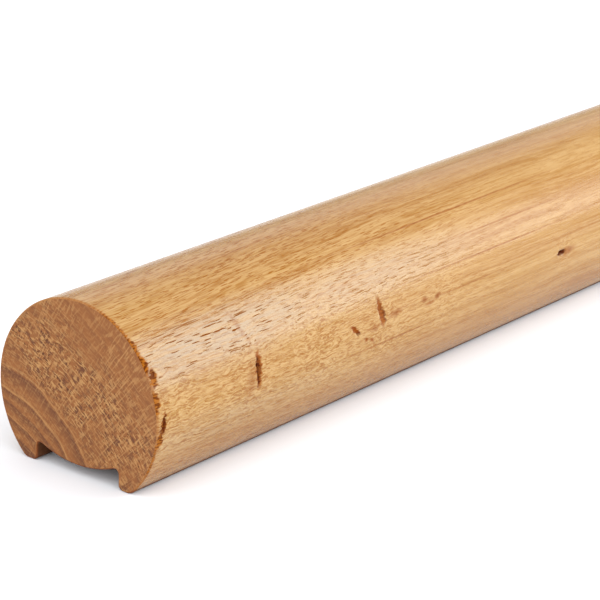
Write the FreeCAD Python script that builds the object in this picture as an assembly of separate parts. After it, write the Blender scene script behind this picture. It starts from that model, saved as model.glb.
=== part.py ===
"""Round oak stair handrail, one moulded length, grooved underneath for its brackets.

The rail lies along X on its two lips. The origin is on the floor under the middle of the
length, midway between the lips. Sizes are in millimetres.
"""

import FreeCAD
import Part
import math
import os

# Driving dimensions
RAIL_LENGTH = 1200.0
RAIL_DIAMETER = 54.0
GROOVE_WIDTH = 28.0
GROOVE_EDGE_DEPTH = 6.0
GROOVE_CROWN_DEPTH = 2.7
GROOVE_CORNER_RADIUS = 1.2
LIP_WIDTH = 4.1
LIP_INNER_RADIUS = 1.5
LIP_OUTER_RADIUS = 3.0
END_ARRIS = 0.4

# A rounding or arris takes at most this share of the face that it is cut into
ROUNDING_SHARE = 0.45

# Edges are found by their place, to this tolerance
PLACE_TOLERANCE = 1e-4

# Worked out from the driving dimensions
RAIL_RADIUS = RAIL_DIAMETER / 2
HALF_LENGTH = RAIL_LENGTH / 2
HALF_GROOVE = GROOVE_WIDTH / 2
HALF_FOOT = HALF_GROOVE + LIP_WIDTH
AXIS_HEIGHT = math.sqrt(RAIL_RADIUS**2 - HALF_FOOT**2)
CUTTER_RUN_OUT = RAIL_DIAMETER


def point(x, y, z):
    return FreeCAD.Vector(x, y, z)


def near(a, b):
    return abs(a - b) < PLACE_TOLERANCE


def lengthwise_edges(solid, y, z):
    """The edges of a solid that run along X at a place in the section, and at its mirror image."""
    found = []
    for edge in solid.Edges:
        ends = [vertex.Point for vertex in edge.Vertexes]
        in_place = all(near(abs(end.y), y) and near(end.z, z) for end in ends)
        if in_place and near(edge.Length, RAIL_LENGTH):
            found.append(edge)
    return found


def round_stock():
    """The full round that the rail is moulded to, with a flat planed underneath."""
    start = point(-HALF_LENGTH, 0, AXIS_HEIGHT)
    stock = Part.makeCylinder(RAIL_RADIUS, RAIL_LENGTH, start, point(1, 0, 0))
    planed_off = Part.makeBox(
        RAIL_LENGTH,
        RAIL_DIAMETER,
        CUTTER_RUN_OUT,
        point(-HALF_LENGTH, -RAIL_RADIUS, -CUTTER_RUN_OUT),
    )
    return stock.cut(planed_off)


def groove_corner_radius():
    """The radius where a groove wall meets the crowned bed, within the wall's own depth."""
    rise = GROOVE_EDGE_DEPTH - GROOVE_CROWN_DEPTH
    bed_slope = 2 * math.atan2(rise, HALF_GROOVE)
    half_corner = (math.pi / 2 - bed_slope) / 2
    longest_tangent = ROUNDING_SHARE * GROOVE_EDGE_DEPTH
    return min(GROOVE_CORNER_RADIUS, longest_tangent * math.tan(half_corner))


def groove_cutter():
    """The shape the moulding cutter takes away: upright walls and a bed that crowns downwards."""
    x = -HALF_LENGTH
    mouth_left = point(x, -HALF_GROOVE, -CUTTER_RUN_OUT)
    mouth_right = point(x, HALF_GROOVE, -CUTTER_RUN_OUT)
    bed_left = point(x, -HALF_GROOVE, GROOVE_EDGE_DEPTH)
    bed_right = point(x, HALF_GROOVE, GROOVE_EDGE_DEPTH)
    bed_middle = point(x, 0, GROOVE_CROWN_DEPTH)
    outline = Part.Wire(
        [
            Part.LineSegment(mouth_left, bed_left).toShape(),
            Part.Arc(bed_left, bed_middle, bed_right).toShape(),
            Part.LineSegment(bed_right, mouth_right).toShape(),
            Part.LineSegment(mouth_right, mouth_left).toShape(),
        ]
    )
    cutter = Part.Face(outline).extrude(point(RAIL_LENGTH, 0, 0))
    corners = lengthwise_edges(cutter, HALF_GROOVE, GROOVE_EDGE_DEPTH)
    return cutter.makeFillet(groove_corner_radius(), corners)


def round_lips(rail):
    """Rounds the inner and outer edge of each lip."""
    longest_tangent = ROUNDING_SHARE * LIP_WIDTH
    inner_radius = min(LIP_INNER_RADIUS, longest_tangent)
    outer_turn = math.asin(HALF_FOOT / RAIL_RADIUS)
    outer_radius = min(LIP_OUTER_RADIUS, longest_tangent / math.tan(outer_turn / 2))
    rail = rail.makeFillet(inner_radius, lengthwise_edges(rail, HALF_GROOVE, 0))
    return rail.makeFillet(outer_radius, lengthwise_edges(rail, HALF_FOOT, 0))


def ease_ends(rail):
    """Takes the sharp arris off both sawn ends, all round the section."""
    arris = min(END_ARRIS, ROUNDING_SHARE * min(GROOVE_CROWN_DEPTH, LIP_WIDTH))
    rims = []
    for edge in rail.Edges:
        box = edge.BoundBox
        if near(box.XLength, 0) and near(abs(box.XMin), HALF_LENGTH):
            rims.append(edge)
    return rail.makeChamfer(arris, rims)


def handrail():
    grooved = round_stock().cut(groove_cutter())
    return ease_ends(round_lips(grooved))


def main():
    rail = handrail()
    print("handrail:", len(rail.Solids), "solid, valid", rail.isValid(), "volume", round(rail.Volume, 1))
    print("box:", rail.BoundBox)
    os.makedirs("parts", exist_ok=True)
    rail.Solids[0].exportStep("parts/handrail.step")


main()
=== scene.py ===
"""Round oak stair handrail, satin lacquered, with a bare sawn end towards the camera.

The file is laid out as an add-on: one operator makes the rail and one makes the studio round it.
Lengths are in metres, and in millimetres where a name or a comment says so.
"""

import math
from collections import namedtuple

import bmesh
import bpy
from mathutils import Euler, Matrix, Vector, noise


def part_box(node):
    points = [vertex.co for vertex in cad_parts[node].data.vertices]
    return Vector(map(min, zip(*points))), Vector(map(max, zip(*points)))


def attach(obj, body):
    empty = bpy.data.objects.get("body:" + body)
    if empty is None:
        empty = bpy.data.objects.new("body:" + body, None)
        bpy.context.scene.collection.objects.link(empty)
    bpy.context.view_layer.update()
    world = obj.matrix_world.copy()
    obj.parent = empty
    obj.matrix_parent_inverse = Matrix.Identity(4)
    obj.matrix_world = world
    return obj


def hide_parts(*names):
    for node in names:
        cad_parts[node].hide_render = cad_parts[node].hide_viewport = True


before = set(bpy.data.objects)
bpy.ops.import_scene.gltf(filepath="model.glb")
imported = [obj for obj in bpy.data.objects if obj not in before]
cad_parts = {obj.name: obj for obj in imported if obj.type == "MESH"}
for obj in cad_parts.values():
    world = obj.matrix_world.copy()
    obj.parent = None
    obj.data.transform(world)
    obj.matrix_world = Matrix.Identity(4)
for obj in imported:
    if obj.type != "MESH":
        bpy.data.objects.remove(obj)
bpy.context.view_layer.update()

bl_info = {
    "name": "Oak Handrail",
    "version": (1, 0, 0),
    "blender": (4, 5, 0),
    "location": "View3D > Sidebar > Handrail",
    "description": "Makes a round oak stair handrail and a plain studio to show it in",
    "category": "Add Mesh",
}

MM = 0.001

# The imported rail, which the dressed one replaces. Its round is faceted, so its width is rounded up
RAIL_NODE = "handrail"
RAIL_BODY = "root"
RAIL_LOW, RAIL_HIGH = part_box(RAIL_NODE)
RAIL_LENGTH = RAIL_HIGH.x - RAIL_LOW.x
RAIL_HEIGHT = RAIL_HIGH.z - RAIL_LOW.z
RAIL_DIAMETER = math.ceil((RAIL_HIGH.y - RAIL_LOW.y) / MM) * MM
AXIS_HEIGHT = RAIL_HEIGHT - RAIL_DIAMETER / 2

# Facets of the section and cuts along the rail, in mm. Cuts are fine this close to a broken place, and
# from there their spacing grows by this share of the distance
FACET = 0.6
BED_FACET = 2.0
SMALL_FACET = 0.45
FINE_CUT = 0.35
COARSE_CUT = 9.0
FINE_REACH = 2.5
CUT_GROWTH = 0.3

# Vertices closer together than this are one
MERGE_DISTANCE = 0.01 * MM

# The pith that the growth rings turn about runs beside the rail, in mm from the rail's own origin
PITH = Vector((0, 43, -25))

# Radii about the pith at which each year's ring begins, and the radius where their ramp ends, in mm
YEARS = (33.2, 36.9, 41.0, 44.0, 50.0, 57.0, 64.5, 71.0, 76.0, 80.0, 83.4, 87.0, 91.0)
RADIUS_SCALE = 100.0

# Half the width of the step from one year to the next, in mm
RING_EDGE = 0.05

# The rays fan out from further off than the pith, from this place in mm
RAY_ORIGIN = Vector((0, 60, -65))

# How deep into the wood a mark goes at least, in mm
MARK_REACH = 3.0

# A mark's edge is jagged, as wood breaks along its fibre. A splinter is this long and wide, and shifts
# the edge by up to this much along the rail, in mm
SPLINTER_LENGTH = 4.0
SPLINTER_WIDTH = 0.9
SPLINTER_SHIFT = 0.7

# How far the grain stands proud of the hollows between it, and how long and wide a hollow is, in mm
RAISED_GRAIN = 0.02
HOLLOW_LENGTH = 40.0
HOLLOW_WIDTH = 1.6

# The foot of each lip takes the groove colour up to about this height in mm, as painted contact shadow where
# the rail meets the floor
FOOT_SHADOW_HEIGHT = 2.2

# The groove's colour, cut wood with painted shade of the recess, reaches this far round the edge of each
# wall, in mm
GROOVE_REACH = 0.2

# The baked picture of the surface: the space round each of its parts, the width of an end, the height of
# the row that holds both ends and the step from one to the other, as shares of the picture
BAKE_MARGIN = 0.006
BAKE_END_SIZE = 0.12
BAKE_END_ROW = 0.13
BAKE_END_STEP = 0.2

# Knots, slits, torn fibre, brown lines and bands, and patches of open pores on the round. The brown bands on
# top, far along the highlight and at the foot are painted shade. From_end is in mm from the near end, around
# and tilt are in degrees, around from the top towards the near side, the half sizes and the depth are in mm,
# and share is how far the mark's colour covers the wood
Mark = namedtuple("Mark", "name from_end around half_along half_across tilt depth colour share")
MARKS = (
    Mark("bark slit", 39.4, 81.8, 0.6, 4.4, -5, 2.0, "bark", 0.85),
    Mark("bark slit's near side", 36.4, 85.5, 2.6, 7.0, -14, 0.0, "brown", 0.4),
    Mark("bark slit's far side", 39.7, 80.5, 1.5, 5.8, -6, 0.3, "brown", 0.85),
    Mark("crack above the bark slit", 36.6, 54.0, 1.2, 9.0, 15, 0.0, "brown", 0.3),
    Mark("brown slit", 92.6, 77.0, 1.5, 4.9, 7, 0.5, "brown", 0.85),
    Mark("brown slit's edge", 93.8, 80.0, 0.5, 2.8, 8, 0.2, "bark", 0.4),
    Mark("smudge before the brown slit", 89.3, 84.5, 3.0, 1.4, 5, 0.0, "brown", 0.5),
    Mark("smudge after the brown slit", 98.8, 81.0, 4.2, 1.3, 4, 0.0, "brown", 0.6),
    Mark("speck", 80.4, 81.4, 2.4, 0.8, -38, 0.4, "brown", 0.95),
    Mark("speck's end", 81.7, 84.2, 0.9, 0.7, -38, 0.4, "bark", 0.5),
    Mark("small speck", 85.2, 89.7, 1.6, 0.9, -20, 0.0, "brown", 0.9),
    Mark("smaller speck", 88.0, 91.4, 1.6, 0.7, -15, 0.0, "brown", 0.9),
    Mark("first dash", 112.5, 80.4, 2.2, 1.1, 0, 0.0, "brown", 0.75),
    Mark("second dash", 118.4, 81.2, 2.2, 1.0, 10, 0.0, "brown", 0.7),
    Mark("third dash", 114.8, 83.6, 3.4, 0.8, 4, 0.0, "brown", 0.6),
    Mark("pin knot", 183.0, 87.3, 2.4, 0.9, 4, 1.5, "bark", 1.0),
    Mark("pin knot's tail", 185.6, 87.4, 6.4, 1.9, 2, 0.0, "brown", 0.65),
    Mark("first torn rim", -0.4, 27.0, 1.3, 5.5, 0, 0.15, "torn", 0.7),
    Mark("second torn rim", -0.3, 43.0, 1.4, 4.5, 0, 0.25, "torn", 0.9),
    Mark("third torn rim", -0.2, 54.0, 1.5, 3.6, 0, 0.3, "torn", 1.0),
    Mark("upper torn fibre", 1.5, 63.0, 1.3, 3.0, -6, 0.4, "torn", 0.9),
    Mark("upper torn fibre's shade", 2.1, 60.6, 0.5, 1.0, -6, 0.3, "bark", 0.5),
    Mark("middle torn fibre", 0.2, 76.5, 1.6, 3.6, 0, 0.4, "torn", 0.9),
    Mark("lower torn fibre", 2.4, 88.5, 1.0, 3.4, -14, 0.4, "torn", 0.95),
    Mark("lower torn fibre's shade", 2.7, 88.0, 0.6, 2.8, -14, 0.3, "bark", 0.8),
    Mark("last torn fibre", 0.9, 97.5, 1.2, 3.2, -8, 0.4, "torn", 0.9),
    Mark("lower rim", -0.4, 112.0, 1.0, 5.0, 0, 0.15, "torn", 0.7),
    Mark("first streak on top", 13.0, -2.8, 16.0, 0.6, 4, 0.0, "brown", 0.55),
    Mark("second streak on top", 60.0, 6.6, 28.0, 0.6, 4, 0.0, "brown", 0.55),
    Mark("first line along the side", 135.0, 34.6, 75.0, 0.45, 0.3, 0.0, "brown", 0.6),
    Mark("second line along the side", 160.0, 52.6, 45.0, 0.4, 0, 0.0, "brown", 0.45),
    Mark("third line along the side", 150.0, 66.8, 55.0, 0.4, 0, 0.0, "brown", 0.55),
    Mark("fourth line along the side", 132.0, 81.7, 28.0, 0.4, 0, 0.0, "brown", 0.4),
    Mark("fifth line along the side", 98.0, 96.0, 32.0, 0.45, 0, 0.0, "brown", 0.55),
    # Painted shade: darkens the top of the rail
    Mark("painted shade on top", 100.0, 5.0, 300.0, 9.0, 0, 0.0, "brown", 0.2),
    # Painted shade: darkens the far part of the highlight band to dim the highlight there
    Mark("painted shade far along", 190.0, 60.0, 80.0, 13.0, 0, 0.0, "brown", 0.08),
    # Painted shade: darkens the underside next to the floor
    Mark("painted shade at the foot", 100.0, 122.0, 300.0, 10.0, 0, 0.0, "brown", 0.25),
    Mark("smudge on top", 26.0, -12.5, 5.0, 1.4, 8, 0.0, "brown", 0.4),
    # These two patches lie on the highlight band: their pale stain is painted highlight, their darker pores
    # are wood
    Mark("pores beside the near end", 25.0, 55.0, 70.0, 10.5, 0, 0.0, "open", 1.0),
    Mark("pores beside the slits", 88.0, 56.0, 66.0, 9.0, 0, 0.0, "open", 0.6),
    Mark("pores below the bark slit", 30.0, 102.0, 60.0, 7.0, 0, 0.0, "open", 0.4),
)

# Where the grain swirls round a knot or slit, placed as the marks are, and how far that reaches in mm
Swirl = namedtuple("Swirl", "from_end around reach")
SWIRLS = (
    Swirl(5, 84, 24),
    Swirl(35, 86, 24),
    Swirl(65, 86, 24),
    Swirl(95, 86, 22),
    Swirl(122, 86, 16),
    Swirl(184, 87, 10),
)


def linear(hex_colour):
    """The linear colour of an sRGB hex value."""
    parts = [int(hex_colour[i : i + 2], 16) / 255 for i in (0, 2, 4)]
    return tuple(p / 12.92 if p <= 0.04045 else ((p + 0.055) / 1.055) ** 2.4 for p in parts)


def length_property(name, description, default):
    return bpy.props.FloatProperty(
        name=name, description=description, default=default, min=0, subtype="DISTANCE", unit="LENGTH"
    )


def colour_property(name, description, hex_colour):
    return bpy.props.FloatVectorProperty(
        name=name,
        description=description,
        default=linear(hex_colour),
        min=0,
        max=1,
        size=3,
        subtype="COLOR",
    )


def light_property(name, description, default, unit="NONE"):
    return bpy.props.FloatProperty(name=name, description=description, default=default, min=0, unit=unit)


class HandrailSizes(bpy.types.PropertyGroup):
    """Sizes of the rail's section."""

    groove_width: length_property("Groove Width", "Between the two walls of the bracket groove", 28 * MM)
    edge_depth: length_property("Groove Edge Depth", "From the lips to the bed, at the walls", 6 * MM)
    crown_depth: length_property("Groove Crown Depth", "From the lips to the bed, at its middle", 2.7 * MM)
    corner_radius: length_property("Groove Corner Radius", "Where a wall meets the bed", 1.2 * MM)
    lip_inner_radius: length_property("Lip Inner Radius", "Where a lip meets the groove", 1.5 * MM)
    lip_outer_radius: length_property("Lip Outer Radius", "Where a lip meets the round", 3 * MM)
    end_arris: length_property("End Arris", "Width of the eased edge round each sawn end", 0.4 * MM)


class OakColours(bpy.types.PropertyGroup):
    """Colours of the oak, as they are in even white light."""

    honey: colour_property("Honey", "The lacquered wood's main colour", "A1793D")
    straw: colour_property("Straw", "Paler fibre along the grain", "B3905E")
    amber: colour_property("Amber", "Deeper bands along the grain", "94662B")
    deep: colour_property("Deep Amber", "Dark lines and fine dashes along the grain", "864E00")
    # Sap: on the highlight band this pale, greyer stain is painted highlight; below the bark slit it is pale
    # wood
    sap_and_painted_highlight: colour_property("Sap", "Pale wood where the pores lie open", "96826B")
    pore: colour_property("Pore", "Open pores that the lacquer has darkened", "763C00")
    # Brown also darkens the painted shade bands on the top, far along the highlight and at the foot
    brown: colour_property("Brown", "Brown wood round the knots and slits", "803E06")
    bark: colour_property("Bark", "Bark and dead wood in the slits and knots", "4C1A00")
    torn: colour_property("Torn Fibre", "Torn fibre along the sawn edge", "945614")
    # Groove: cut, unsanded wood, darkened further as painted shade of the groove's recess; at the lips' feet
    # it paints the contact shadow
    groove: colour_property("Groove", "Wood of the groove, which is cut but not sanded", "52290B")
    end_wood: colour_property("End Wood", "Bare end grain", "825331")
    end_late: colour_property("End Latewood", "Dense bands of the end grain", "543428")
    end_pale: colour_property("End Pale Rows", "Rays and rows of soft cells in the end grain", "A77D4F")
    end_pore: colour_property("End Pore", "Pores of the end grain", "361305")


class StudioSettings(bpy.types.PropertyGroup):
    """Light of the studio."""

    bright_side: light_property("Bright Side", "Brightness of the white surround off the near end", 2.5)
    dark_side: light_property("Dark Side", "Brightness of the surround towards the far end", 0.05)
    side_softbox: light_property("Side Softbox", "Power of the softbox beside the rail", 13.0, "POWER")
    back_softbox: light_property("Back Softbox", "Power of the softbox behind the rail", 1.5, "POWER")
    floor: colour_property("Floor", "The floor's paint", "E4E6EA")


def arc(bm, start, centre, turn, facet):
    """Spins a vertex about a point of its section and returns the last vertex of the arc."""
    radius = math.dist(start.co.yz, centre)
    made = bmesh.ops.spin(
        bm,
        geom=[start],
        cent=(start.co.x, *centre),
        axis=(1, 0, 0),
        angle=turn,
        steps=max(3, round(radius * abs(turn) / (facet * MM))),
        use_duplicate=False,
    )
    return next(part for part in made["geom_last"] if isinstance(part, bmesh.types.BMVert))


def straight(bm, start, y, z):
    """Draws a straight run from a vertex to a place in its section and returns its last vertex."""
    end = bmesh.ops.extrude_vert_indiv(bm, verts=[start])["verts"][0]
    end.co.yz = y, z
    return end


def draw_section(bm, sizes):
    """Draws the section at the near end: half of it, from the bed's middle to the top, then its mirror."""
    radius = RAIL_DIAMETER / 2
    half_groove = sizes.groove_width / 2
    rise = sizes.edge_depth - sizes.crown_depth
    bed_radius = (half_groove**2 + rise**2) / (2 * rise)
    bed_centre = (0, sizes.crown_depth + bed_radius)
    corner = sizes.corner_radius
    corner_y = half_groove - corner
    corner_drop = math.sqrt((bed_radius + corner) ** 2 - corner_y**2)
    corner_centre = (corner_y, bed_centre[1] - corner_drop)
    bed_turn = math.atan2(corner_y, corner_drop)
    inner = sizes.lip_inner_radius
    outer = sizes.lip_outer_radius
    outer_drop = AXIS_HEIGHT - outer
    outer_y = math.sqrt((radius - outer) ** 2 - outer_drop**2)
    outer_turn = math.atan2(outer_y, outer_drop)

    pen = bm.verts.new((RAIL_LOW.x, 0, sizes.crown_depth))
    pen = arc(bm, pen, bed_centre, bed_turn, BED_FACET)
    pen = arc(bm, pen, corner_centre, -bed_turn - math.pi / 2, SMALL_FACET)
    pen = straight(bm, pen, half_groove, inner)
    pen = arc(bm, pen, (half_groove + inner, inner), math.pi / 2, SMALL_FACET)
    pen = straight(bm, pen, outer_y, 0)
    pen = arc(bm, pen, (outer_y, outer), outer_turn, SMALL_FACET)
    arc(bm, pen, (0, AXIS_HEIGHT), math.pi - outer_turn, FACET)
    half = bm.verts[:] + bm.edges[:]
    bmesh.ops.mirror(bm, geom=half, matrix=Matrix(), merge_dist=MERGE_DISTANCE, axis="Y")
    bmesh.ops.remove_doubles(bm, verts=bm.verts, dist=MERGE_DISTANCE)


def measure_girth(bm):
    """Writes on each vertex of the section how far it lies round it, and returns the whole girth."""
    girth = bm.verts.layers.float.new("girth")
    first = min(bm.verts, key=lambda v: v.co.yz.length)
    at, edge, total = first, first.link_edges[0], 0.0
    while True:
        at[girth] = total
        total += edge.calc_length()
        at = edge.other_vert(at)
        if at is first:
            return total
        edge = next(e for e in at.link_edges if e is not edge)


def cross_cuts(first):
    """Places along the rail where its section is repeated, closest where a mark breaks its surface."""
    broken = [mark.from_end for mark in MARKS if mark.depth]
    length = RAIL_LENGTH / MM
    cuts, place = [], first / MM
    while place < length - COARSE_CUT:
        cuts.append(place)
        away = min(abs(place - middle) for middle in broken) - FINE_REACH
        place += min(max(FINE_CUT, away * CUT_GROWTH), COARSE_CUT)
    return [RAIL_LOW.x + cut * MM for cut in cuts] + [RAIL_HIGH.x]


def run_along(bm, first_cut):
    """Extrudes the section from cut to cut and closes both ends."""
    rim = bm.edges[:]
    near_rim = rim
    for place in cross_cuts(first_cut):
        made = bmesh.ops.extrude_edge_only(bm, edges=rim)["geom"]
        corners = {part for part in made if isinstance(part, bmesh.types.BMVert)}
        for vert in corners:
            vert.co.x = place
        drawn = [part for part in made if isinstance(part, bmesh.types.BMEdge)]
        rim = [edge for edge in drawn if corners.issuperset(edge.verts)]
    ends = []
    for edges in (near_rim, rim):
        ends += bmesh.ops.contextual_create(bm, geom=edges)["faces"]
    bm.normal_update()
    bmesh.ops.recalc_face_normals(bm, faces=bm.faces)
    return ends


def ease_ends(bm, ends, arris):
    """Takes the arris off both sawn ends."""
    edges = {edge for face in ends for edge in face.edges}
    bmesh.ops.bevel(
        bm,
        geom=list(edges),
        offset=arris,
        offset_type="OFFSET",
        affect="EDGES",
        segments=2,
        profile=0.5,
        material=-1,
        clamp_overlap=False,
    )


def smooth_step(low, high, value):
    """Rises from 0 at the low value to 1 at the high one, softly at both ends."""
    share = min(max((value - low) / (high - low), 0.0), 1.0)
    return share * share * (3 - 2 * share)


def on_round(from_end, around):
    """The point of the round at a place given as for the marks, in mm."""
    turn = math.radians(around)
    radius = RAIL_DIAMETER / 2 / MM
    height = AXIS_HEIGHT / MM + radius * math.cos(turn)
    return Vector((RAIL_LOW.x / MM + from_end, -radius * math.sin(turn), height))


def mark_turn(mark):
    """How a mark is turned on the round: its length along X, its width round the rail."""
    return Euler((math.radians(mark.around), 0, math.radians(mark.tilt)), "ZXY")


def note_places(bm, sizes):
    """Writes on each vertex how far it is at a sawn end's edge, and in the groove or at a lip's foot, where
    the groove colour paints shade.
    """
    edge = bm.verts.layers.float.new("edge")
    groove = bm.verts.layers.float.new("groove")
    groove_edge = sizes.groove_width / 2 + GROOVE_REACH * MM
    for vert in bm.verts:

        # The edge ends just past the arris, so its distance from the end is counted in arrises
        arrises = (RAIL_HIGH.x - abs(vert.co.x)) / sizes.end_arris
        vert[edge] = smooth_step(1.2, 0.9, arrises)
        in_groove = abs(vert.co.y) < groove_edge and vert.co.z < sizes.edge_depth
        # The lips' feet get the groove colour as painted contact shadow
        painted_foot_shadow = smooth_step(FOOT_SHADOW_HEIGHT, FOOT_SHADOW_HEIGHT / 2, vert.co.z / MM)
        vert[groove] = max(float(in_groove), painted_foot_shadow)


def break_surface(bm):
    """Sinks the slits and the torn fibre into the round, and raises the grain a little elsewhere."""
    deep = [mark for mark in MARKS if mark.depth]
    deep = [(mark, on_round(mark.from_end, mark.around), mark_turn(mark).to_matrix()) for mark in deep]
    splinter = Vector((1 / SPLINTER_LENGTH, 1 / SPLINTER_WIDTH, 1 / SPLINTER_WIDTH))
    bm.normal_update()
    moves = []
    for vert in bm.verts:
        point = vert.co / MM
        hollow = Vector((point.x / HOLLOW_LENGTH, point.y / HOLLOW_WIDTH, point.z / HOLLOW_WIDTH))
        sink = RAISED_GRAIN * (1 + noise.noise(hollow))
        jagged = point + Vector((SPLINTER_SHIFT * noise.noise(point * splinter), 0, 0))
        for mark, middle, turn in deep:
            if abs(point.x - middle.x) < mark.half_across + mark.half_along:
                away = (jagged - middle) @ turn
                reach = max(mark.half_across, MARK_REACH)
                away = Vector((away.x / mark.half_along, away.y / mark.half_across, away.z / reach)).length
                sink += mark.depth * smooth_step(1.0, 0.2, away)
        moves.append((vert, vert.normal * sink * MM))
    for vert, move in moves:
        if RAIL_HIGH.x - abs(vert.co.x) > MERGE_DISTANCE:
            vert.co -= move


def lay_out_map(bm, girth):
    """Lays the long faces out as two strips with the ends above them, for the surface's baked picture."""
    around = bm.verts.layers.float["girth"]
    uv = bm.loops.layers.uv.new("OFBake")
    margin = BAKE_MARGIN
    strip_height = (1 - BAKE_END_ROW - 4 * margin) / 2
    end_scale = BAKE_END_SIZE / RAIL_DIAMETER
    half = RAIL_LENGTH / 2
    for face in bm.faces:
        middle = face.calc_center_median()
        far = middle.x > 0

        # A face that crosses the seam goes on past the end of the girth
        wraps = max(loop.vert[around] for loop in face.loops) > girth * 0.75
        for loop in face.loops:
            place = loop.vert.co
            if face.material_index:
                u = margin + (BAKE_END_STEP if far else 0.0) + (place.y + RAIL_DIAMETER / 2) * end_scale
                v = 1 - margin - BAKE_END_SIZE + place.z * end_scale
            else:
                turn = loop.vert[around]
                if wraps and turn < girth * 0.25:
                    turn += girth
                u = margin + (place.x + half - (half if far else 0.0)) / half * (1 - 2 * margin)
                v = margin + (strip_height + margin if far else 0.0) + turn / girth * strip_height
            loop[uv].uv = u, v


# The kinds of node that the materials use most
MATH = "ShaderNodeMath"
VECTOR_MATH = "ShaderNodeVectorMath"
MAP_RANGE = "ShaderNodeMapRange"
NOISE = "ShaderNodeTexNoise"


def add(tree, kind, inputs=None, output=0, **settings):
    """Adds a node, fills its inputs with values or links, and returns one of its outputs."""
    made = tree.nodes.new(kind)
    for name, value in settings.items():
        setattr(made, name, value)
    for name, value in (inputs or {}).items():
        if isinstance(value, bpy.types.NodeSocket):
            tree.links.new(value, made.inputs[name])
        else:
            made.inputs[name].default_value = value
    return made.outputs[output]


def in_grain(tree, grain, along, across):
    """Coordinates in which a pattern one unit in size is this long and this wide in the wood, in mm."""
    scale = (1 / along, 1 / across, 1 / across)
    return add(tree, VECTOR_MATH, {0: grain, 1: scale}, operation="MULTIPLY")


def marked_places(tree, place, colour):
    """How far the marks of one colour cover the wood at a place. A mark without depth fades out softly."""
    covered = 0.0
    for mark in MARKS:
        if mark.colour != colour:
            continue
        local = {
            "Vector": place,
            "Location": on_round(mark.from_end, mark.around),
            "Rotation": mark_turn(mark).to_matrix().to_euler("XYZ"),
            "Scale": (mark.half_along, mark.half_across, max(mark.half_across, MARK_REACH)),
        }
        local = add(tree, "ShaderNodeMapping", local, vector_type="TEXTURE")
        away = add(tree, VECTOR_MATH, {0: local}, "Value", operation="LENGTH")
        full = 0.6 if mark.depth else 0.1
        near = {"Value": away, "From Min": 1.1, "From Max": full, "To Max": mark.share}
        near = add(tree, MAP_RANGE, near, interpolation_type="SMOOTHSTEP")
        covered = add(tree, MATH, {0: covered, 1: near}, operation="MAXIMUM")
    return covered


def swirling_places(tree, place):
    """How strongly the grain swirls at a place, from 0 to 1."""
    strength = 0.0
    for swirl in SWIRLS:
        away = {0: place, 1: on_round(swirl.from_end, swirl.around)}
        away = add(tree, VECTOR_MATH, away, "Value", operation="DISTANCE")
        near = {"Value": away, "From Min": swirl.reach, "From Max": swirl.reach * 0.2}
        near = add(tree, MAP_RANGE, near, interpolation_type="SMOOTHSTEP")
        strength = add(tree, MATH, {0: strength, 1: near}, operation="MAXIMUM")
    return strength


def shifted(tree, place, pattern, amount):
    """Moves a place sideways by a noise colour, by up to about half this amount each way, in mm."""
    middled = {0: pattern, 1: (0.5, 0.5, 0.5)}
    middled = add(tree, VECTOR_MATH, middled, operation="SUBTRACT")
    if isinstance(amount, bpy.types.NodeSocket):
        amount = add(tree, "ShaderNodeCombineXYZ", {"Y": amount, "Z": amount})
    else:
        amount = (0, amount, amount)
    return add(tree, VECTOR_MATH, {0: middled, 1: amount, 2: place}, operation="MULTIPLY_ADD")


def year_of(tree, radius):
    """How much of its year's growth a place has behind it, from 0 to 1, by its radius about the pith."""
    share = add(tree, MATH, {0: radius, 1: RADIUS_SCALE}, operation="DIVIDE")
    growth_ramp = add(tree, "ShaderNodeValToRGB", {"Fac": share}, "Color")
    stops = growth_ramp.node.color_ramp.elements
    for start in YEARS:
        for shift, growth in ((-RING_EDGE, 1.0), (RING_EDGE, 0.0)):
            stops.new((start + shift) / RADIUS_SCALE).color = (growth, growth, growth, 1)
    return growth_ramp


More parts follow.
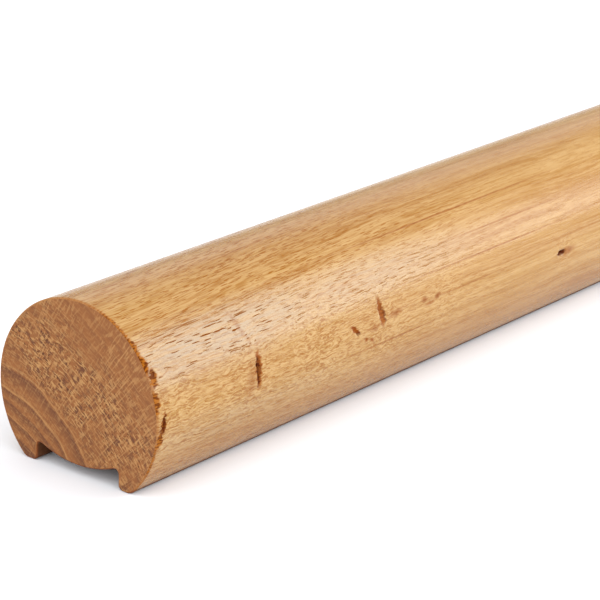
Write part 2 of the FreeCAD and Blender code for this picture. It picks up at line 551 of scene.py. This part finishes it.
def grown_oak(tree):
    """How oak grows, as patterns through the whole piece. Sizes are in mm."""
    place = add(tree, "ShaderNodeTexCoord", output="Object")
    place = add(tree, VECTOR_MATH, {0: place, "Scale": 1 / MM}, operation="SCALE")
    swirl = swirling_places(tree, place)

    # The grain leans at the near end, wanders along the rail and curls round the knots
    along = add(tree, "ShaderNodeSeparateXYZ", {0: place}, "X")
    near_end = RAIL_LOW.x / MM
    lean = {"Value": along, "From Min": near_end, "From Max": near_end + 120, "To Min": 5.0, "To Max": 0.0}
    lean = add(tree, MAP_RANGE, lean, interpolation_type="SMOOTHSTEP")
    lean = add(tree, "ShaderNodeCombineXYZ", {"Y": lean})
    grain = add(tree, VECTOR_MATH, {0: place, 1: lean}, operation="ADD")
    for length, width, detail, amount in ((260, 50, 1.0, 10.0), (60, 13, 1.0, 3.6), (8, 4, 1.0, 0.3)):
        bends = {"Vector": in_grain(tree, place, length, width), "Scale": 1.0, "Detail": detail}
        grain = shifted(tree, grain, add(tree, NOISE, bends, "Color"), amount)
    curls = {"Vector": in_grain(tree, place, 4.0, 2.4), "Scale": 1.0, "Detail": 2.0}
    curls = add(tree, NOISE, curls, "Color")
    grain = shifted(tree, grain, curls, add(tree, MATH, {0: swirl, 1: 2.2}, operation="MULTIPLY"))

    # Rings about the pith, each with its own width
    out = add(tree, VECTOR_MATH, {0: grain, 1: PITH}, operation="SUBTRACT")
    out = add(tree, VECTOR_MATH, {0: out, 1: (0, 1, 1)}, operation="MULTIPLY")
    radius = add(tree, VECTOR_MATH, {0: out}, "Value", operation="LENGTH")
    growth = year_of(tree, radius)
    early = {"Value": growth, "From Min": 0.25, "From Max": 0.75, "To Min": 1.0, "To Max": 0.0}
    early = add(tree, MAP_RANGE, early, interpolation_type="SMOOTHSTEP")

    # Short lines and dashes are lively beside the near end and round the knots, and calmer elsewhere
    lively = {"Value": along, "From Min": near_end + 60, "From Max": near_end + 185}
    lively = add(tree, MAP_RANGE, {**lively, "To Min": 1.0, "To Max": 0.3}, interpolation_type="SMOOTHSTEP")
    knotty = add(tree, MATH, {0: swirl, 1: 0.6}, operation="MULTIPLY")
    lively = add(tree, MATH, {0: lively, 1: knotty}, operation="MAXIMUM")

    # Pores are long tubes, which the surface cuts into dashes. They crowd together in the early wood. Real
    # ones are about 0.2 mm wide, and both sizes of dash are drawn coarser than that, so that they show
    crowd = add(tree, NOISE, {"Vector": in_grain(tree, grain, 40, 6), "Scale": 1.0, "Detail": 1.0})
    crowd = add(tree, MAP_RANGE, {"Value": crowd, "From Min": 0.35, "From Max": 0.65})
    crowd = add(tree, MATH, {0: early, 1: 0.6, 2: crowd}, operation="MULTIPLY_ADD")
    size = add(tree, MAP_RANGE, {"Value": crowd, "From Max": 1.6, "To Min": 0.19, "To Max": 0.39})
    core = add(tree, MATH, {0: size, 1: 0.1}, operation="SUBTRACT")
    pores = {"Vector": in_grain(tree, grain, 11, 0.56), "Scale": 1.0}
    pores = add(tree, "ShaderNodeTexVoronoi", pores, "Distance")
    pores = add(tree, MAP_RANGE, {"Value": pores, "From Min": size, "From Max": core})
    crowd_fine = add(tree, NOISE, {"Vector": in_grain(tree, grain, 16, 4), "Scale": 1.0, "Detail": 1.0})
    size = {"Value": crowd_fine, "From Min": 0.3, "From Max": 0.7, "To Min": 0.29, "To Max": 0.41}
    size = add(tree, MAP_RANGE, size)
    core = add(tree, MATH, {0: size, 1: 0.1}, operation="SUBTRACT")
    fine = {"Vector": in_grain(tree, grain, 4.4, 0.42), "Scale": 1.0}
    fine = add(tree, "ShaderNodeTexVoronoi", fine, "Distance")
    steady = add(tree, MAP_RANGE, {"Value": swirl, "To Min": 1.0, "To Max": 0.4})
    steady = add(tree, MATH, {0: steady, 1: lively}, operation="MULTIPLY")
    fine = add(tree, MAP_RANGE, {"Value": fine, "From Min": size, "From Max": core, "To Max": steady})

    # Dark and pale lines lie side by side, drawn coarser than single fibres, so that they show. Where the
    # grain swirls, short curly ones take the place of the long ones
    lines = add(tree, NOISE, {"Vector": in_grain(tree, grain, 6, 0.32), "Scale": 1.0, "Detail": 0.0})
    curly = {"Vector": in_grain(tree, grain, 2.4, 0.48), "Scale": 1.0, "Detail": 1.0, "Distortion": 0.6}
    lines = add(tree, "ShaderNodeMix", {0: swirl, 2: lines, 3: add(tree, NOISE, curly)})
    strength = add(tree, MAP_RANGE, {"Value": swirl, "To Min": 0.45, "To Max": 1.0})
    strength = add(tree, MATH, {0: strength, 1: lively}, operation="MULTIPLY")
    pale = add(tree, MAP_RANGE, {"Value": lines, "From Min": 0.52, "From Max": 0.62, "To Max": strength})
    dark = add(tree, MAP_RANGE, {"Value": lines, "From Min": 0.48, "From Max": 0.37, "To Max": strength})

    # Fibre is a fine streak, and bands of colour are broad
    fibre = {"Vector": in_grain(tree, grain, 50, 0.7), "Scale": 1.0, "Detail": 2.0, "Roughness": 0.6}
    fibre = add(tree, NOISE, fibre)
    streak = add(tree, NOISE, {"Vector": in_grain(tree, grain, 110, 2.2), "Scale": 1.0, "Detail": 1.0})
    bands = add(tree, NOISE, {"Vector": in_grain(tree, grain, 240, 7), "Scale": 1.0, "Detail": 2.0})
    return {
        "place": place,
        "radius": radius,
        "growth": growth,
        "crowd": crowd,
        "pores": pores,
        "fine": fine,
        "pale": pale,
        "dark": dark,
        "fibre": fibre,
        "streak": streak,
        "bands": bands,
    }


def new_material(name):
    """A material that has no nodes yet."""
    material = bpy.data.materials.new(name)
    material.use_nodes = True
    material.node_tree.nodes.clear()
    return material


def show(tree, shader):
    """Links a shader to the material's output."""
    tree.links.new(shader, tree.nodes.new("ShaderNodeOutputMaterial").inputs["Surface"])


def stain(tree, share, colour, stained):
    """Mixes a colour into another by a share."""
    over = stained if isinstance(stained, bpy.types.NodeSocket) else (*stained, 1)
    under = colour if isinstance(colour, bpy.types.NodeSocket) else (*colour, 1)
    return add(tree, "ShaderNodeMix", {0: share, 6: under, 7: over}, 2, data_type="RGBA")


def lacquered_oak(colours):
    """Oak, moulded and sanded, with a clear satin lacquer.

    The eye gets honey wood with paler and deeper bands, brown pores that run along the grain and a soft
    broad highlight from the lacquer, which the open pores and the brown marks break up. Painted shade
    darkens the groove, the lips' feet, the top, the underside and the far part of the highlight band, and a
    pale stain on the highlight band is painted highlight.
    """
    material = new_material("oak_moulded_satin_lacquer")
    tree = material.node_tree
    oak = grown_oak(tree)
    share = add(tree, MAP_RANGE, {"Value": oak["bands"], "From Min": 0.36, "From Max": 0.64})
    colour = stain(tree, share, colours.amber, colours.honey)
    share = add(tree, MAP_RANGE, {"Value": oak["streak"], "From Min": 0.4, "From Max": 0.7, "To Max": 0.6})
    colour = stain(tree, share, colour, colours.straw)
    share = add(tree, MAP_RANGE, {"Value": oak["fibre"], "From Min": 0.42, "From Max": 0.68, "To Max": 0.65})
    colour = stain(tree, share, colour, colours.straw)
    share = add(tree, MAP_RANGE, {"Value": oak["fibre"], "From Min": 0.48, "From Max": 0.3, "To Max": 0.4})
    colour = stain(tree, share, colour, colours.amber)
    share = add(tree, MATH, {0: oak["pale"], 1: 0.9}, operation="MULTIPLY")
    colour = stain(tree, share, colour, colours.straw)
    share = add(tree, MATH, {0: oak["dark"], 1: 0.7}, operation="MULTIPLY")
    colour = stain(tree, share, colour, colours.deep)

    # Wood with open pores is stained paler, and its pores are darker than elsewhere. On the band of the
    # lacquer's highlight that pale stain is painted highlight
    open_grain = marked_places(tree, oak["place"], "open")
    share = {"Value": oak["fibre"], "From Min": 0.36, "From Max": 0.6, "To Min": 0.3, "To Max": 0.8}
    share = add(tree, MAP_RANGE, share)
    share = add(tree, MATH, {0: open_grain, 1: share}, operation="MULTIPLY")
    colour = stain(tree, share, colour, colours.sap_and_painted_highlight)
    share = add(tree, MAP_RANGE, {"Value": open_grain, "To Min": 0.85, "To Max": 0.4})
    share = add(tree, MATH, {0: oak["fine"], 1: share}, operation="MULTIPLY")
    colour = stain(tree, share, colour, colours.deep)
    open_grain = add(tree, MAP_RANGE, {"Value": open_grain, "To Min": 0.12})
    pores = add(tree, MATH, {0: oak["pores"], 1: open_grain}, operation="MULTIPLY")
    colour = stain(tree, pores, colour, colours.pore)

    # The groove, the feet of the lips and the edge of the sawn end. In the groove the groove colour is
    # unsanded wood darkened further as painted shade of the recess, and at the lips' feet it is painted
    # contact shadow
    groove = add(tree, "ShaderNodeAttribute", output="Fac", attribute_name="groove")
    share = add(tree, MATH, {0: groove, 1: 0.95}, operation="MULTIPLY")
    colour = stain(tree, share, colour, colours.groove)
    edge = add(tree, "ShaderNodeAttribute", output="Fac", attribute_name="edge")
    share = add(tree, MATH, {0: edge, 1: 0.5}, operation="MULTIPLY")
    colour = stain(tree, share, colour, colours.brown)
    bare = add(tree, MATH, {0: groove, 1: edge}, operation="MAXIMUM")

    # The marks, jagged and combed by the fibre. Each colour has its share of bark between the comb's teeth
    # and its share of bare wood
    splinters = in_grain(tree, oak["place"], SPLINTER_LENGTH, SPLINTER_WIDTH)
    splinters = add(tree, NOISE, {"Vector": splinters, "Scale": 1.0, "Detail": 1.0})
    splinters = {"Value": splinters, "To Min": -2 * SPLINTER_SHIFT, "To Max": 2 * SPLINTER_SHIFT}
    splinters = add(tree, "ShaderNodeCombineXYZ", {"X": add(tree, MAP_RANGE, splinters)})
    jagged = add(tree, VECTOR_MATH, {0: oak["place"], 1: splinters}, operation="ADD")
    comb = {"Vector": in_grain(tree, oak["place"], 2.4, 0.45), "Scale": 1.0, "Detail": 0.0}
    comb = add(tree, MAP_RANGE, {"Value": add(tree, NOISE, comb), "From Min": 0.44, "From Max": 0.56})
    pits = add(tree, MATH, {0: oak["fine"], 1: 0.6}, operation="MULTIPLY")
    pits = add(tree, MATH, {0: pits, 1: pores}, operation="MAXIMUM")
    for name, dark, dull in (("brown", 0.3, 0.0), ("torn", 0.85, 0.5), ("bark", 0.8, 0.8)):
        covered = marked_places(tree, jagged, name)
        colour = stain(tree, covered, colour, getattr(colours, name))
        dark = add(tree, MATH, {0: comb, 1: dark}, operation="MULTIPLY")
        dark = add(tree, MATH, {0: dark, 1: covered}, operation="MULTIPLY")
        colour = stain(tree, dark, colour, colours.bark)
        dull = add(tree, MATH, {0: covered, 1: dull}, operation="MULTIPLY")
        bare = add(tree, MATH, {0: bare, 1: dull}, operation="MAXIMUM")
        pits = add(tree, MATH, {0: pits, 1: covered}, operation="MAXIMUM")

    # Open pores and bare wood are rougher than the lacquer, and pits and marks mirror little of the light
    rough = add(tree, MAP_RANGE, {"Value": oak["fibre"], "To Min": 0.19, "To Max": 0.3})
    rough = add(tree, MATH, {0: pores, 1: 0.7, 2: rough}, operation="MULTIPLY_ADD")
    rough = add(tree, MATH, {0: bare, 1: 0.45, 2: rough}, operation="MULTIPLY_ADD", use_clamp=True)
    mirror = add(tree, MAP_RANGE, {"Value": pits, "To Min": 0.5, "To Max": 0.05})
    height = add(tree, MATH, {0: pores, 1: -0.06}, operation="MULTIPLY")
    height = add(tree, MATH, {0: oak["fine"], 1: -0.015, 2: height}, operation="MULTIPLY_ADD")
    height = add(tree, MATH, {0: oak["fibre"], 1: 0.05, 2: height}, operation="MULTIPLY_ADD")
    bump = add(tree, "ShaderNodeBump", {"Height": height, "Strength": 1.0, "Distance": MM})
    shader = {"Base Color": colour, "IOR": 1.38, "Specular IOR Level": mirror}
    shader = {**shader, "Roughness": rough, "Normal": bump}
    show(tree, add(tree, "ShaderNodeBsdfPrincipled", shader))
    return material


def sawn_end_grain(colours):
    """Oak end grain, sawn across and left bare.

    The eye gets a dull deeper brown, curved bands of the rings, fine pale rays across them and dark
    pores. Pores and rays are drawn a little coarser than they are, so that they show.
    """
    material = new_material("oak_sawn_end_grain")
    tree = material.node_tree
    oak = grown_oak(tree)

    # Rings show most close to the pith: dense wood at the end of a year, then a thin pale line
    clear = {"Value": oak["radius"], "From Min": 56, "From Max": 50, "To Min": 0.25, "To Max": 1.0}
    clear = add(tree, MAP_RANGE, clear)
    late = add(tree, MAP_RANGE, {"Value": oak["growth"], "From Min": 0.3, "From Max": 1.0, "To Max": 0.8})
    late = add(tree, MATH, {0: late, 1: clear}, operation="MULTIPLY")
    colour = stain(tree, late, colours.end_wood, colours.end_late)
    line = add(tree, MAP_RANGE, {"Value": oak["growth"], "From Min": 0.14, "From Max": 0.04, "To Max": 0.6})
    line = add(tree, MATH, {0: line, 1: clear}, operation="MULTIPLY")
    colour = stain(tree, line, colour, colours.end_pale)

    # Patterns here are laid out along the rays, which run out from the pith, and across them
    out = add(tree, VECTOR_MATH, {0: oak["place"], 1: RAY_ORIGIN}, operation="SUBTRACT")
    out = add(tree, VECTOR_MATH, {0: out, 1: (0, 1, 1)}, operation="MULTIPLY")
    parts = add(tree, "ShaderNodeSeparateXYZ", {0: out}).node
    turn = add(tree, MATH, {0: parts.outputs["Z"], 1: parts.outputs["Y"]}, operation="ARCTAN2")
    turn = add(tree, MATH, {0: turn, 1: RAY_ORIGIN.length}, operation="MULTIPLY")
    reach = add(tree, VECTOR_MATH, {0: out}, "Value", operation="LENGTH")
    polar = add(tree, "ShaderNodeCombineXYZ", {"X": reach, "Y": turn})
    patch = add(tree, NOISE, {"Vector": in_grain(tree, oak["place"], 9, 9), "Scale": 1.0, "Detail": 1.0})
    patch = {"Value": patch, "From Min": 0.3, "From Max": 0.6, "To Min": 0.4, "To Max": 1.0}
    patch = add(tree, MAP_RANGE, patch)
    porous = add(tree, MAP_RANGE, {"Value": oak["radius"], "From Min": 49, "From Max": 54, "To Min": 0.3})
    patch = add(tree, MATH, {0: porous, 1: patch}, operation="MULTIPLY")
    fan = add(tree, MAP_RANGE, {"Value": oak["radius"], "From Min": 46, "From Max": 58, "To Min": 0.3})
    closed = add(tree, MAP_RANGE, {"Value": oak["radius"], "From Min": 80, "From Max": 69, "To Min": 0.2})
    porous = add(tree, MATH, {0: patch, 1: closed}, operation="MULTIPLY")

    # Dark flecks of dense wood, then pale rays and hatching, then pale rows of soft cells across them. Each
    # has its length and width in mm, the noise at which it begins and is full, its share, its colour and
    # where it shows
    for along, across, least, most, share, tint, spread in (
        (1.0, 2.2, 0.5, 0.6, 0.75, colours.end_late, porous),
        (26.0, 0.45, 0.63, 0.7, 0.45, colours.end_pale, fan),
        (3.0, 0.48, 0.53, 0.61, 0.5, colours.end_pale, patch),
        (0.48, 1.8, 0.53, 0.6, 0.85, colours.end_pale, porous),
    ):
        row = add(tree, VECTOR_MATH, {0: polar, 1: (1 / along, 1 / across, 1)}, operation="MULTIPLY")
        row = add(tree, NOISE, {"Vector": row, "Scale": 1.0, "Detail": 1.0})
        row = add(tree, MAP_RANGE, {"Value": row, "From Min": least, "From Max": most, "To Max": share})
        row = add(tree, MATH, {0: row, 1: spread}, operation="MULTIPLY")
        colour = stain(tree, row, colour, tint)

    # Pores are dark dots
    dots = add(tree, VECTOR_MATH, {0: polar, 1: (1 / 0.8, 1 / 0.7, 1)}, operation="MULTIPLY")
    dots = add(tree, "ShaderNodeTexVoronoi", {"Vector": dots, "Scale": 1.0}, "Distance")
    size = add(tree, MAP_RANGE, {"Value": oak["crowd"], "From Max": 1.6, "To Min": 0.16, "To Max": 0.34})
    core = add(tree, MATH, {0: size, 1: 0.12}, operation="SUBTRACT")
    dots = add(tree, MAP_RANGE, {"Value": dots, "From Min": size, "From Max": core, "To Max": 0.6})
    dots = add(tree, MATH, {0: dots, 1: porous}, operation="MULTIPLY")
    colour = stain(tree, dots, colour, colours.end_pore)
    height = add(tree, MATH, {0: dots, 1: -0.15}, operation="MULTIPLY")
    height = add(tree, MATH, {0: row, 1: 0.08, 2: height}, operation="MULTIPLY_ADD")
    bump = add(tree, "ShaderNodeBump", {"Height": height, "Strength": 1.0, "Distance": MM})
    shader = {"Base Color": colour, "Roughness": 0.8, "Normal": bump, "IOR": 1.2}
    show(tree, add(tree, "ShaderNodeBsdfPrincipled", shader))
    return material


def link_mesh(name, bm):
    """Turns a bmesh into an object of the scene."""
    mesh = bpy.data.meshes.new(name)
    bm.to_mesh(mesh)
    bm.free()
    made = bpy.data.objects.new(name, mesh)
    bpy.context.scene.collection.objects.link(made)
    return made


class HANDRAIL_OT_make_rail(bpy.types.Operator):
    """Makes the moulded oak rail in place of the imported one"""

    bl_idname = "handrail.make_rail"
    bl_label = "Make Rail"

    def execute(self, context):
        sizes = context.scene.handrail_sizes
        colours = context.scene.handrail_colours
        bm = bmesh.new()
        draw_section(bm, sizes)
        girth = measure_girth(bm)
        ends = run_along(bm, 2 * sizes.end_arris)
        ease_ends(bm, ends, sizes.end_arris)
        break_surface(bm)
        note_places(bm, sizes)

        # Only the sawn ends have more than four corners
        for face in bm.faces:
            sawn = len(face.verts) > 4
            face.material_index = int(sawn)
            face.smooth = not sawn
        lay_out_map(bm, girth)
        rail = link_mesh("oak_handrail", bm)
        rail.data.materials.append(lacquered_oak(colours))
        rail.data.materials.append(sawn_end_grain(colours))
        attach(rail, RAIL_BODY)
        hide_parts(RAIL_NODE)
        return {"FINISHED"}


# The camera stands off the middle of the near end, and looks along the rail and down
EYE_FROM_END = Vector((-0.4245, -0.3969, 0.2331))
CAMERA_YAW = math.radians(37.63)
CAMERA_PITCH = math.radians(19.44)
CAMERA_ROLL = math.radians(1.8)
SENSOR_WIDTH = 36.0
FOCAL_PIXELS = 2484.4
IMAGE_PIXELS = 600


def place_camera(scene):
    """Sets the camera at the photograph's viewing angle."""
    camera = bpy.data.objects.new("camera", bpy.data.cameras.new("camera"))
    camera.data.sensor_width = SENSOR_WIDTH
    camera.data.lens = FOCAL_PIXELS / IMAGE_PIXELS * SENSOR_WIDTH
    camera.data.clip_start = 0.01
    camera.location = Vector((RAIL_LOW.x, 0, AXIS_HEIGHT)) + EYE_FROM_END
    aim = Euler((math.pi / 2 - CAMERA_PITCH, 0, CAMERA_YAW - math.pi / 2)).to_matrix()
    camera.rotation_euler = (aim @ Matrix.Rotation(CAMERA_ROLL, 3, "Z")).to_euler()
    scene.collection.objects.link(camera)
    scene.camera = camera


# The white surround is brightest off the near end
BRIGHT_TOWARDS = Vector((-0.83, -0.32, 0.26))

# One softbox stands upright to the right of the rail, and a long weak one behind it
Softbox = namedtuple("Softbox", "name towards width height")
SIDE_SOFTBOX = Softbox("side softbox", Vector((0.678, -0.589, 0.438)), 0.88, 1.0)
BACK_SOFTBOX = Softbox("back softbox", Vector((0.64, 0.66, 0.36)), 1.4, 0.4)
SOFTBOX_DISTANCE = 1.5

# The softboxes face a point of the axis this far in from the near end
SOFTBOX_AIM = 0.02

# The floor is a disc that reaches out of every view
FLOOR_RADIUS = 20.0
FLOOR_FACETS = 96


def hang_softbox(scene, box, power):
    """Hangs a softbox that faces the near end of the rail."""
    light = bpy.data.lights.new(box.name, "AREA")
    light.shape = "RECTANGLE"
    light.size = box.width
    light.size_y = box.height
    light.energy = power
    hung = bpy.data.objects.new(box.name, light)
    aim = Vector((RAIL_LOW.x + SOFTBOX_AIM, 0, AXIS_HEIGHT))
    hung.location = aim + box.towards * SOFTBOX_DISTANCE
    hung.rotation_euler = box.towards.to_track_quat("Z", "Y").to_euler()
    scene.collection.objects.link(hung)


class HANDRAIL_OT_set_stage(bpy.types.Operator):
    """Sets a plain pale floor, soft light and the camera round the rail"""

    bl_idname = "handrail.set_stage"
    bl_label = "Set Stage"

    def execute(self, context):
        scene = context.scene
        studio = scene.handrail_studio
        bm = bmesh.new()
        bmesh.ops.create_circle(bm, cap_ends=True, segments=FLOOR_FACETS, radius=FLOOR_RADIUS)
        floor = link_mesh("floor", bm)

        # Emulsion paint, rolled on: an even white without gloss, on which only the soft shadow shows
        paint = new_material("matt_white_studio_paint")
        shader = {"Base Color": (*studio.floor, 1), "Roughness": 0.9}
        show(paint.node_tree, add(paint.node_tree, "ShaderNodeBsdfPrincipled", shader))
        floor.data.materials.append(paint)

        world = bpy.data.worlds.new("white_surround")
        world.use_nodes = True
        tree = world.node_tree
        side = {0: add(tree, "ShaderNodeTexCoord", output="Generated"), 1: BRIGHT_TOWARDS}
        side = add(tree, VECTOR_MATH, side, "Value", operation="DOT_PRODUCT")
        side = {"Value": side, "From Min": -1, "To Min": studio.dark_side, "To Max": studio.bright_side}
        background = tree.nodes["Background"].inputs
        background["Color"].default_value = (1, 1, 1, 1)
        tree.links.new(add(tree, MAP_RANGE, side), background["Strength"])
        scene.world = world
        scene.view_settings.view_transform = "Standard"

        hang_softbox(scene, SIDE_SOFTBOX, studio.side_softbox)
        hang_softbox(scene, BACK_SOFTBOX, studio.back_softbox)
        place_camera(scene)
        return {"FINISHED"}


class HANDRAIL_PT_panel(bpy.types.Panel):
    """Lists the operators, sizes, colours and light of the rail"""

    bl_idname = "HANDRAIL_PT_panel"
    bl_label = "Oak Handrail"
    bl_space_type = "VIEW_3D"
    bl_region_type = "UI"
    bl_category = "Handrail"

    def draw(self, context):
        scene = context.scene
        for operator in OPERATORS:
            self.layout.operator(operator.bl_idname)
        for group in (scene.handrail_sizes, scene.handrail_colours, scene.handrail_studio):
            box = self.layout.box()
            for name in group.__annotations__:
                box.prop(group, name)


OPERATORS = (HANDRAIL_OT_make_rail, HANDRAIL_OT_set_stage)
GROUPS = {
    "handrail_sizes": HandrailSizes,
    "handrail_colours": OakColours,
    "handrail_studio": StudioSettings,
}
CLASSES = (*GROUPS.values(), *OPERATORS, HANDRAIL_PT_panel)


def register():
    for item in CLASSES:
        bpy.utils.register_class(item)
    for name, group in GROUPS.items():
        setattr(bpy.types.Scene, name, bpy.props.PointerProperty(type=group))


def unregister():
    for name in GROUPS:
        delattr(bpy.types.Scene, name)
    for item in reversed(CLASSES):
        bpy.utils.unregister_class(item)


def main():
    register()
    bpy.ops.handrail.make_rail()
    bpy.ops.handrail.set_stage()
    bpy.context.view_layer.update()


if __name__ == "__main__":
    main()
